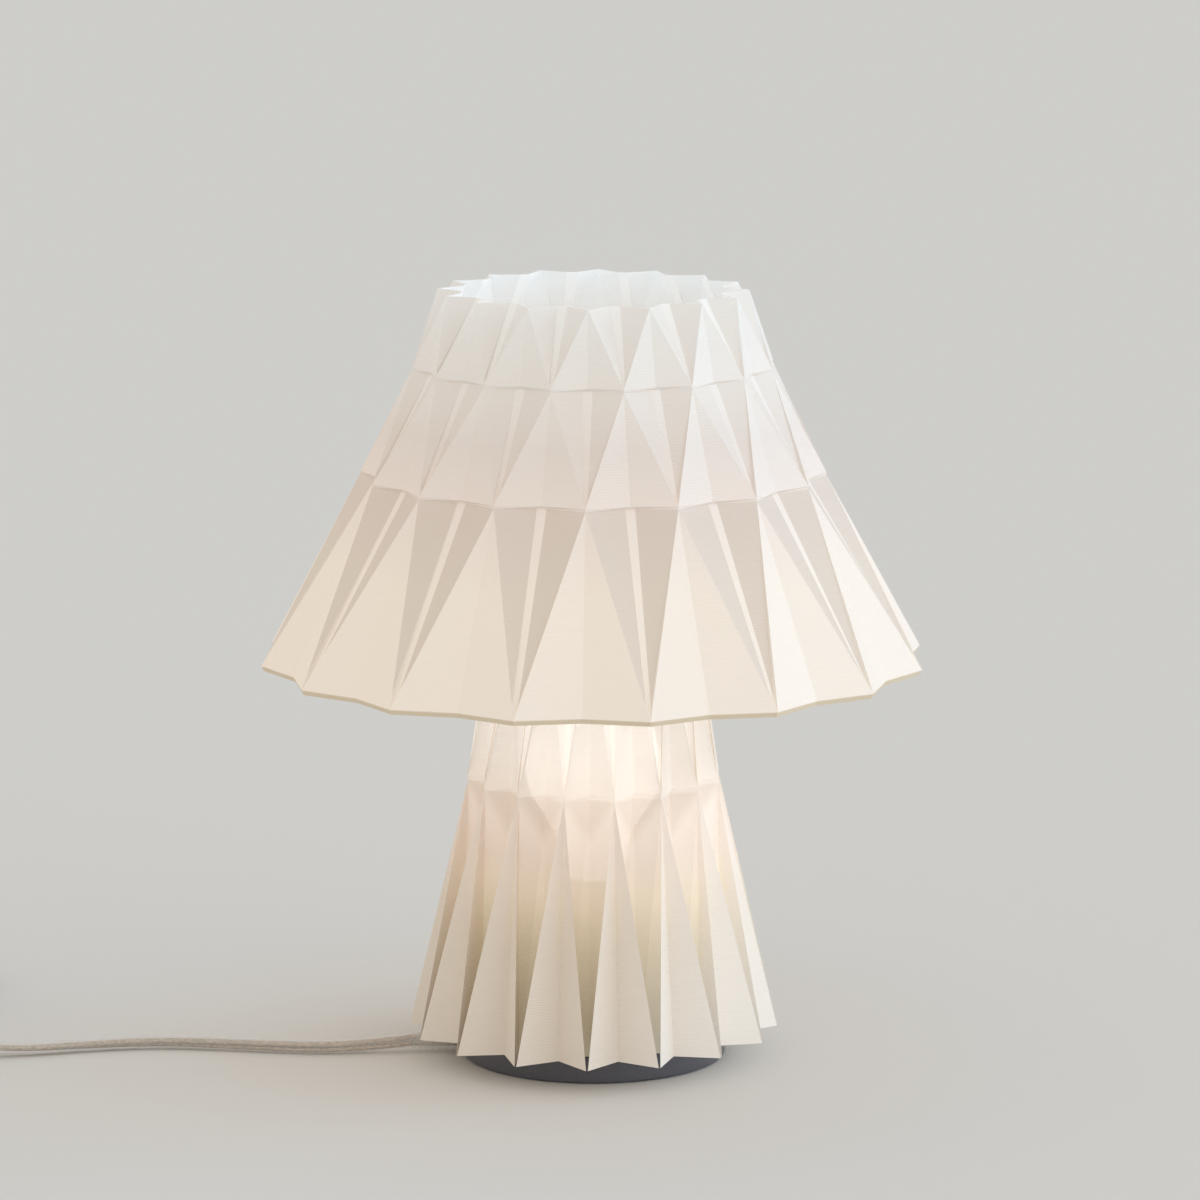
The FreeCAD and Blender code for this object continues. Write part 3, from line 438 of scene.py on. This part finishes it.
lead = {
    "radius": 0.0029,
    "exit": (-0.080, -0.003, 0.0054),
    "toSwitch": [
        (-0.080, -0.003, 0.0054), (-0.097, -0.0042, 0.0035), (-0.122, -0.0075, 0.00295),
        (-0.156, -0.0015, 0.00295), (-0.192, 0.004, 0.00295), (-0.226, -0.003, 0.00295),
        (-0.251, -0.0105, 0.0033), (-0.267, -0.0121, 0.0047), (-0.282, -0.012, 0.0048),
    ],
    # inside the switch the jacket is stripped and the cores pass below the rocker
    "inSwitch": [(-0.290, -0.012, 0.0037), (-0.297, -0.012, 0.0029), (-0.306, -0.012, 0.0028),
                 (-0.318, -0.012, 0.0036)],
    "strippedShare": 0.3,
    "smoothSteps": 6,
    "roundSteps": 5,
    "toCoil": [
        (-0.330, -0.012, 0.0048), (-0.345, -0.0121, 0.0046), (-0.363, -0.0113, 0.00295),
        (-0.381, 0.001, 0.00295), (-0.388, 0.022, 0.00295), (-0.381, 0.043, 0.00295),
        (-0.363, 0.0556, 0.0031), (-0.342, 0.0566, 0.0037),
    ],
    "toPlug": [
        (-0.341, 0.1274, 0.0153), (-0.360, 0.1256, 0.0104), (-0.379, 0.119, 0.005),
        (-0.395, 0.108, 0.00295), (-0.406, 0.093, 0.0032), (-0.4115, 0.078, 0.0054),
        (-0.412, 0.066, 0.00685),
    ],
    # the coil: its radii and heights, and the angles over which each goes on to the next
    "coilCentre": (-0.322, 0.0945),
    "coilAngle": 2340,
    "coilRadii": (0.0385, 0.0327, 0.0269, 0.0327, 0.0385, 0.0327),
    "radiusSteps": ((270, 345), (630, 705), (1230, 1295), (1590, 1655), (1980, 2045)),
    "coilHeights": (0.0038, 0.0096, 0.0154),
    "heightSteps": ((945, 1020), (1900, 1975)),
    "spotsPerTurn": 16,
    "jacketColours": ((0.80, 0.77, 0.73), (0.90, 0.88, 0.85)),
    "jacketAlpha": 0.2,
    "jacketRim": 0.55,
    # the two cores leave the lamp one above the other, and twist slowly
    "coreColours": ((0.40, 0.33, 0.25), (0.66, 0.54, 0.43)),
    "coreSides": 8,
    "corePitch": 0.84,
    "corePhase": 1.27,
    "coreOffset": 0.00128,
    "coreRadius": 0.0012,
    "coreStart": (-0.050, -0.003, 0.0054),
}


def eased(angle, start, end):
    share = min(max((angle - start) / (end - start), 0), 1)
    return share * share * (3 - 2 * share)


def stepped(angle, values, steps):
    # from each value to the next, over the angles of that step
    reached = values[0]
    for before, after, (start, end) in zip(values, values[1:], steps):
        reached += (after - before) * eased(angle, start, end)
    return reached


def coilSpots():
    # six and a half turns in three layers: inwards, outwards, and one on top
    step = 360 / lead["spotsPerTurn"]
    # the curve passes a little inside its points, so they stand out by as much
    proud = 1 / (0.5 + 0.5 * math.cos(math.radians(step))) * 0.999
    spots = []
    for number in range(int(round(lead["coilAngle"] / step)) + 1):
        angle = number * step
        radius = stepped(angle, lead["coilRadii"], lead["radiusSteps"])
        height = stepped(angle, lead["coilHeights"], lead["heightSteps"])
        turn = math.radians(angle)
        spots.append((lead["coilCentre"][0] + radius * proud * math.sin(turn),
                      lead["coilCentre"][1] - radius * proud * math.cos(turn), height))
    return spots


def splineCurve(name, spots):
    curve = bpy.data.curves.new(name, "CURVE")
    curve.dimensions = "3D"
    curve.resolution_u = lead["smoothSteps"]
    spline = curve.splines.new("NURBS")
    spline.points.add(len(spots) - 1)
    for point, spot in zip(spline.points, spots):
        point.co = (*spot, 1)
        if spot in lead["inSwitch"]:
            point.radius = lead["strippedShare"]
    spline.order_u = 3
    spline.use_endpoint_u = True
    piece = bpy.data.objects.new(name, curve)
    bpy.context.scene.collection.objects.link(piece)
    return piece


def followed(piece):
    # the points of the curve's own smooth line
    bare = piece.copy()
    bare.data = piece.data.copy()
    bare.data.bevel_depth = 0
    mesh = bpy.data.meshes.new_from_object(bare)
    spots = [vertex.co.copy() for vertex in mesh.vertices]
    bpy.data.objects.remove(bare)
    return spots


def sweptTube(name, spots, radius, sides):
    # a round tube of quads along a line of points, closed at both ends
    mesh = bmesh.new()
    rings = []
    side = None
    for index, spot in enumerate(spots):
        ahead = spots[min(index + 1, len(spots) - 1)] - spots[max(index - 1, 0)]
        ahead.normalize()
        if side is None:
            side = ahead.cross(Vector((0, 0, 1))).normalized()
        side = (side - ahead * side.dot(ahead)).normalized()
        up = side.cross(ahead)
        rings.append([mesh.verts.new(
            spot + (side * math.cos(turn) + up * math.sin(turn)) * radius)
            for turn in [2 * math.pi * step / sides for step in range(sides)]])
    for before, after in zip(rings, rings[1:]):
        for step in range(sides):
            beside = (step + 1) % sides
            mesh.faces.new((before[step], after[step], after[beside], before[beside]))
    mesh.faces.new(rings[0])
    mesh.faces.new(reversed(rings[-1]))
    bmesh.ops.recalc_face_normals(mesh, faces=mesh.faces)
    data = bpy.data.meshes.new(name)
    mesh.to_mesh(data)
    mesh.free()
    for face in data.polygons:
        face.use_smooth = True
    piece = bpy.data.objects.new(name, data)
    bpy.context.scene.collection.objects.link(piece)
    return piece


def coreLine(spots, phase):
    # one core's own line, turning slowly about the lead's
    line = []
    travelled = 0
    side = None
    for index, spot in enumerate(spots):
        if index:
            travelled += (spot - spots[index - 1]).length
        ahead = spots[min(index + 1, len(spots) - 1)] - spots[max(index - 1, 0)]
        ahead.normalize()
        if side is None:
            side = ahead.cross(Vector((0, 0, 1))).normalized()
        side = (side - ahead * side.dot(ahead)).normalized()
        up = side.cross(ahead)
        turn = phase + 2 * math.pi * travelled / lead["corePitch"]
        line.append(spot + (side * math.cos(turn) + up * math.sin(turn)) * lead["coreOffset"])
    return line


def jacketLook():
    # clear in the middle, whiter where the eye looks along its wall
    look = Look("clear_jacket")
    cloud = look.noise(60.0, 3.0)
    rim = look.add("ShaderNodeLayerWeight", None, {"Blend": 0.35}, output="Facing")
    look.give(Base_Color=look.mixed(cloud, *lead["jacketColours"]), Roughness=cloud * 0.1 + 0.1,
              Alpha=rim * rim * lead["jacketRim"] + lead["jacketAlpha"], IOR=1.5,
              Coat_Weight=0.6)
    return look


def coreLook():
    look = Look("stranded_core")
    strands = look.noise(1400.0, 2.0, place=look.stretched((0.35, 1.0, 1.0)))
    look.give(Base_Color=look.mixed(strands.between(0.3, 0.7), *lead["coreColours"]),
              Roughness=0.4, Metallic=0.1)
    return look.bumps(strands, 0.0002)


def makeLead():
    route = lead["toSwitch"] + lead["inSwitch"] + lead["toCoil"] + coilSpots() + lead["toPlug"]
    jacket = splineCurve("mains_lead", route)
    spots = followed(jacket)
    jacket.data.bevel_depth = lead["radius"]
    jacket.data.bevel_resolution = lead["roundSteps"]
    jacket.data.use_fill_caps = True
    clearPlastic = jacketLook()
    dress(jacket, clearPlastic)
    dress(nodes["cord_inlet"], clearPlastic)
    cores = []
    finish = coreLook()
    coreSpots = [Vector(lead["coreStart"])] + spots
    for number in range(2):
        phase = lead["corePhase"] + number * math.pi
        core = sweptTube(f"lead_core_{number + 1}", coreLine(coreSpots, phase),
                         lead["coreRadius"], lead["coreSides"])
        dress(core, finish)
        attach(core, "lamp")
        cores.append(core)
    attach(jacket, "lamp")
    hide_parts("cord_lead", "cord_middle", "cord_coil", "cord_tail")
    length = sum((b - a).length for a, b in zip(spots, spots[1:]))
    print("lead length", round(length, 4))
    return jacket, cores


jacket, cores = makeLead()
print("lead laid")


# modelling helpers

# for pieces with edges rounded over: closeness of doubled points, and angles in degrees
# below which faces are flat, above which edges are sharp, and below which shading is smooth
rounding = {"merge": 0.00002, "flat": 2, "sharp": 40, "smooth": 32}


def startPiece(name):
    piece = bpy.context.object
    piece.name = name
    bpy.ops.object.transform_apply(location=True, rotation=True, scale=True)
    bpy.ops.object.mode_set(mode="EDIT")
    return piece


def choose(piece, kind, wanted):
    # in edit mode: only the faces, edges or corners that pass the test are selected
    bpy.ops.mesh.select_mode(type=kind)
    bpy.ops.mesh.select_all(action="DESELECT")
    mesh = bmesh.from_edit_mesh(piece.data)
    for part in {"VERT": mesh.verts, "EDGE": mesh.edges, "FACE": mesh.faces}[kind]:
        if wanted(part):
            part.select_set(True)
    bmesh.update_edit_mesh(piece.data)


def ended(piece, smooth):
    bpy.ops.object.mode_set(mode="OBJECT")
    bpy.ops.object.shade_smooth_by_angle(angle=math.radians(smooth))
    return piece


def standFor(piece, body, slot, *names):
    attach(piece, body)
    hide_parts(*names)
    return piece


def applied(piece, kind, **settings):
    modifier = piece.modifiers.new(kind.lower(), kind)
    for key, value in settings.items():
        setattr(modifier, key, value)
    bpy.context.view_layer.objects.active = piece
    bpy.ops.object.modifier_apply(modifier=modifier.name)


def softened(name, width, body, slot, steps=3):
    # a copy of a CAD piece with its edges rounded over
    clearSelection()
    piece = bpy.data.objects.new(name + "_rounded", nodes[name].data.copy())
    bpy.context.scene.collection.objects.link(piece)
    bpy.context.view_layer.objects.active = piece
    piece.select_set(True)
    if piece.data.has_custom_normals:
        bpy.ops.mesh.customdata_custom_splitnormals_clear()
    bpy.ops.object.mode_set(mode="EDIT")
    bpy.ops.mesh.select_all(action="SELECT")
    bpy.ops.mesh.remove_doubles(threshold=rounding["merge"])
    bpy.ops.mesh.dissolve_limited(angle_limit=math.radians(rounding["flat"]))
    bpy.ops.object.mode_set(mode="OBJECT")
    applied(piece, "BEVEL", width=width, segments=steps, limit_method="ANGLE",
            angle_limit=math.radians(rounding["sharp"]), use_clamp_overlap=True)
    bpy.ops.object.shade_smooth_by_angle(angle=math.radians(rounding["smooth"]))
    return standFor(piece, body, slot, name)


# plain finishes

def mouldedLook(name, colour, shade, rough, grain=900.0, depth=0.00003):
    # moulded plastic, rubber or paint: a fine grain and a slow change of tone
    look = Look(name)
    slow = look.noise(35.0, 3.0)
    fine = look.noise(grain, 2.0)
    look.give(Base_Color=look.mixed(slow * 0.6 + fine * 0.4, colour, shade),
              Roughness=fine * 0.16 + (rough - 0.08))
    return look.bumps(fine, depth, 0.5)


def metalLook(name, colour, shade, rough, stretch=(1.0, 1.0, 6.0)):
    # plated or turned metal with fine tool marks and a few duller patches
    look = Look(name)
    marks = look.noise(700.0, 3.0, place=look.stretched(stretch))
    patches = look.noise(120.0, 3.0).between(0.35, 0.7)
    look.give(Base_Color=look.mixed(patches, colour, shade), Metallic=1.0,
              Roughness=marks * 0.2 + patches * 0.08 + (rough - 0.1))
    return look.bumps(marks, 0.00001, 0.5)


def clearLook(name, colour, shade, rough, alpha):
    # clear or milky plastic, a little cloudy inside
    look = Look(name)
    cloud = look.noise(90.0, 3.0)
    look.give(Base_Color=look.mixed(cloud, colour, shade), Roughness=cloud * 0.12 + rough,
              Alpha=cloud * 0.1 + alpha, Coat_Weight=cloud * 0.3 + 0.3, IOR=1.49)
    return look.bumps(cloud, 0.00005, 0.3)


def glowingLook(name, colour, glow, strength, alpha=1.0):
    look = Look(name)
    cloud = look.noise(60.0, 2.0) * 0.12 + 0.94
    look.give(Base_Color=look.mixed(cloud, colour, glow), Roughness=0.3,
              Emission_Color=look.tinted(glow, cloud), Emission_Strength=strength, Alpha=alpha)
    return look


# the puck

puck = {
    "colour": (0.068, 0.067, 0.082),
    "shade": (0.088, 0.087, 0.104),
    "roughness": 0.32,
    "coatRoughness": 0.3,
    "grain": 1500.0,
    "pad": ((0.03, 0.03, 0.03), (0.05, 0.05, 0.05)),
}


def puckLook():
    # powder coat: a fine even grain and a satin sheen
    look = Look("puck_powder_coat")
    grain = look.noise(puck["grain"], 2.0)
    cloud = look.noise(22.0, 3.0)
    look.give(Base_Color=look.mixed(grain.between(0.3, 0.7), puck["colour"], puck["shade"]),
              Roughness=cloud * 0.1 + grain * 0.1 + (puck["roughness"] - 0.1),
              Coat_Weight=0.5, Coat_Roughness=puck["coatRoughness"])
    return look.bumps(grain, 0.00006, 0.6)


dress(nodes["base_puck"], puckLook())
dress(nodes["foot_pad"], mouldedLook("pad_rubber", *puck["pad"], 0.85, 600.0, 0.00008))
print("puck dressed")


# the bulb

bulb = {
    "globeRadius": 0.030,
    "globeCentre": 0.1283,
    "shoulder": 0.1140,
    "neck": [(0.1085, 0.0226), (0.1025, 0.0188), (0.0960, 0.0160), (0.0885, 0.0141),
             (0.0809, 0.0134), (0.0778, 0.0126), (0.0699, 0.0124)],
    "wall": 0.0008,
    "glassColour": (0.95, 0.93, 0.88),
    "glow": (1.0, 0.96, 0.93),
    "glowStrength": 2.0,
    "filament": ((1.0, 0.82, 0.45), (1.0, 0.80, 0.42)),
    "filamentStrength": 6.0,
    "post": ((0.90, 0.90, 0.88), (0.82, 0.83, 0.82)),
    "cap": ((0.72, 0.71, 0.68), (0.62, 0.61, 0.58)),
    "contact": ((0.60, 0.60, 0.60), (0.5, 0.5, 0.5)),
    "insulator": ((0.02, 0.02, 0.025), (0.04, 0.04, 0.05)),
}


def makeBulbGlass():
    # a globe, cut at the shoulder and drawn down to its neck
    clearSelection()
    bpy.ops.mesh.primitive_uv_sphere_add(segments=64, ring_count=40, radius=bulb["globeRadius"],
                                         location=(0, 0, bulb["globeCentre"]))
    glass = startPiece("bulb_globe")
    choose(glass, "FACE", lambda face: face.calc_center_median().z < bulb["shoulder"])
    bpy.ops.mesh.delete(type="FACE")
    rim = min(vertex.co.z for vertex in bmesh.from_edit_mesh(glass.data).verts)
    below = math.sqrt(bulb["globeRadius"] ** 2 - (bulb["globeCentre"] - rim) ** 2)
    height = rim
    for low, radius in bulb["neck"]:
        choose(glass, "EDGE", lambda edge: edge.is_boundary)
        bpy.ops.mesh.extrude_region_move(TRANSFORM_OT_translate={"value": (0, 0, low - height)})
        share = radius / below
        bpy.ops.transform.resize(value=(share, share, 1), center_override=(0, 0, low))
        height, below = low, radius
    ended(glass, 60)
    applied(glass, "SOLIDIFY", thickness=bulb["wall"], offset=-1)
    applied(glass, "SUBSURF", levels=1, render_levels=1)
    standFor(glass, "bulb", "bulb_glass", "bulb_glass")
    return glass


glass = makeBulbGlass()
dress(glass, glowingLook("bulb_glass_lit", bulb["glassColour"], bulb["glow"],
                         bulb["glowStrength"], 0.85))
dress(nodes["bulb_filaments"], glowingLook("filament_glow", *bulb["filament"],
                                           bulb["filamentStrength"]))
dress(nodes["bulb_post"], clearLook("post_glass", *bulb["post"], 0.05, 0.5))
dress(nodes["bulb_cap"], metalLook("cap_nickel", *bulb["cap"], 0.3))
dress(nodes["bulb_contact"], metalLook("contact_solder", *bulb["contact"], 0.4))
dress(nodes["bulb_insulator"], mouldedLook("insulator_glass", *bulb["insulator"], 0.15))
print("bulb modelled")


# lampholder, stem and carrier

holder = {
    # the cup's dark olive is partly its paint and partly painted shade, for the dark inside of
    # the base below the bulb
    "cup": ((0.20, 0.185, 0.13), (0.26, 0.24, 0.18)),
    "black": ((0.045, 0.045, 0.045), (0.065, 0.065, 0.065)),
    "ceramic": ((0.86, 0.84, 0.79), (0.78, 0.76, 0.71)),
    "zinc": ((0.62, 0.63, 0.64), (0.50, 0.51, 0.52)),
    "brass": ((0.78, 0.60, 0.30), (0.66, 0.50, 0.24)),
    "carrier": ((0.78, 0.74, 0.67), (0.84, 0.81, 0.75)),
    "carrierGlow": (0.30, 0.24, 0.16),
    "cores": ((0.62, 0.60, 0.55), (0.72, 0.70, 0.65)),
}
steelPieces = ["stem_tube", "stem_washer", "stem_nuts", "pedestal", "cord_grip", "grip_screws",
               "shell_screws", "carrier_screws", "carrier_nuts", "switch_screws", "rocker_pin"]
brassPieces = ["terminal_screws", "thread_sleeve", "centre_contact", "switch_contacts"]


def carrierLook():
    # the same print as the shells, lit from below by the bulb
    look = Look("printed_carrier")
    z = look.parts(look.place)[2]
    lines = layerLines(look, z)
    cloud = look.noise(20.0, 3.0) * 0.1 + 0.9
    look.give(Base_Color=look.mixed(cloud, *holder["carrier"]), Roughness=0.55,
              Emission_Color=look.tinted(holder["carrierGlow"], cloud * (lines * 0.02 + 1)),
              Emission_Strength=1.0)
    return look.bumps(lines, print3d["layerDepth"], 0.8)


zinc = metalLook("zinc_plate", *holder["zinc"], 0.35)
brass = metalLook("turned_brass", *holder["brass"], 0.3)
for name in steelPieces:
    dress(nodes[name], zinc)
for name in brassPieces:
    dress(nodes[name], brass)
# dark olive: the cup's paint with painted shade in it
dress(nodes["holder_cup"], mouldedLook("cup_paint_and_shade", *holder["cup"], 0.45))
blackMoulding = mouldedLook("holder_black", *holder["black"], 0.4)
for name in ("lampholder_cap", "lampholder_body"):
    dress(nodes[name], blackMoulding)
dress(nodes["lampholder_insert"], mouldedLook("glazed_ceramic", *holder["ceramic"], 0.2, 200.0))
dress(nodes["shade_carrier"], carrierLook())
dress(nodes["lead_cores"], mouldedLook("core_insulation", *holder["cores"], 0.4))
print("lampholder, stem and carrier dressed")


# strain relief and plug boot

relief = {
    "place": (-0.048, -0.003, 0.0054),
    "turn": (0, -90, 0),
    "flange": (0.010, 0.0033, 0.0046, 0.0015),
    "ribs": 7,
    "length": 0.022,
    "radii": (0.0045, 0.0035),
    "groove": 0.00025,
}
boot = {
    "place": (-0.412, 0.044, 0.00685),
    "turn": (-90, 0, 0),
    "flange": (0.0005, 0.0060, 0.0064, 0.0022),
    "ribs": 6,
    "length": 0.0215,
    "radii": (0.0063, 0.0038),
    "groove": 0.0009,
}
# for both: shares of the pitch of the ribs, and how much a rib narrows towards the lead
ribShape = {"start": 0.00002, "slope": 0.12, "floor": 0.28, "crest": 0.48, "taper": 0.4,
            "bevel": 0.00018}


def ribbedSleeve(name, sizes):
    # turned up from a short cylinder: a plain end, a flange, then ribs that grow smaller
    plain, radius, flangeRadius, flange = sizes["flange"]
    clearSelection()
    bpy.ops.mesh.primitive_cylinder_add(vertices=40, radius=radius, depth=plain,
                                        location=(0, 0, plain / 2))
    sleeve = startPiece(name)
    height, width = plain, radius

    def grow(rise, wide):
        nonlocal height, width
        choose(sleeve, "FACE", lambda face: face.calc_center_median().z > height - 1e-6
               and face.normal.z > 0.9)
        bpy.ops.mesh.extrude_region_move(TRANSFORM_OT_translate={"value": (0, 0, rise)})
        height += rise
        bpy.ops.transform.resize(value=(wide / width, wide / width, 1),
                                 center_override=(0, 0, height))
        width = wide

    grow(ribShape["start"], flangeRadius)
    grow(flange, flangeRadius)
    start, end = sizes["radii"]
    pitch = (sizes["length"] - flange - ribShape["start"]) / sizes["ribs"]
    for rib in range(sizes["ribs"]):
        wide = start + (end - start) * (rib + 0.5) / sizes["ribs"]
        grow(pitch * ribShape["slope"], wide - sizes["groove"])
        grow(pitch * ribShape["floor"], wide - sizes["groove"])
        grow(pitch * ribShape["slope"], wide)
        grow(pitch * ribShape["crest"], wide - (start - end) * ribShape["taper"] / sizes["ribs"])
    ended(sleeve, 50)
    applied(sleeve, "BEVEL", width=ribShape["bevel"], segments=2, limit_method="ANGLE",
            angle_limit=math.radians(30))
    bpy.ops.object.shade_smooth_by_angle(angle=math.radians(40))
    sleeve.location = sizes["place"]
    sleeve.rotation_euler = [math.radians(angle) for angle in sizes["turn"]]
    bpy.ops.object.transform_apply(location=True, rotation=True, scale=True)
    return sleeve


milky = clearLook("relief_plastic", (0.78, 0.79, 0.78), (0.88, 0.88, 0.86), 0.2, 0.75)
clear = clearLook("relief_clear", (0.82, 0.80, 0.76), (0.90, 0.88, 0.85), 0.12, 0.2)
reliefPiece = standFor(ribbedSleeve("relief_sleeve", relief), "lamp", "relief_plastic",
                       "cord_relief")
dress(reliefPiece, clear)
bootPiece = standFor(ribbedSleeve("plug_sleeve", boot), "lamp", "relief_plastic", "plug_boot")
dress(bootPiece, milky)
print("sleeves modelled")


# switch, plug and tie

fittings = {
    "case": ((0.82, 0.83, 0.82), (0.89, 0.89, 0.87)),
    "rocker": ((0.86, 0.86, 0.84), (0.90, 0.90, 0.88)),
    "pins": ((0.78, 0.77, 0.73), (0.68, 0.67, 0.63)),
    "tie": ((0.78, 0.78, 0.76), (0.86, 0.86, 0.84)),
}
caseLook = clearLook("switch_case", *fittings["case"], 0.16, 0.86)
casePieces = [softened("switch_base", 0.0011, "lamp", "switch_plastic"),
              softened("switch_cover", 0.0011, "lamp", "switch_plastic"),
              softened("plug_body", 0.0022, "lamp", "switch_plastic", 4)]
for piece in casePieces:
    dress(piece, caseLook)
rocker = softened("switch_rocker", 0.0004, "rocker", "rocker_plastic")
dress(rocker, mouldedLook("rocker_gloss", *fittings["rocker"], 0.2, 500.0, 0.00001))
tie = softened("coil_tie", 0.0003, "lamp", "tie_plastic", 2)
dress(tie, mouldedLook("tie_matt", *fittings["tie"], 0.6, 1100.0, 0.00008))
dress(nodes["plug_pins"], metalLook("pin_nickel", *fittings["pins"], 0.25))
print("switch, plug and tie modelled")

onLead = [nodes[name] for name in ("switch_screws", "switch_contacts", "rocker_pin", "plug_pins")]
onLead += casePieces + [rocker, tie, bootPiece] + cores
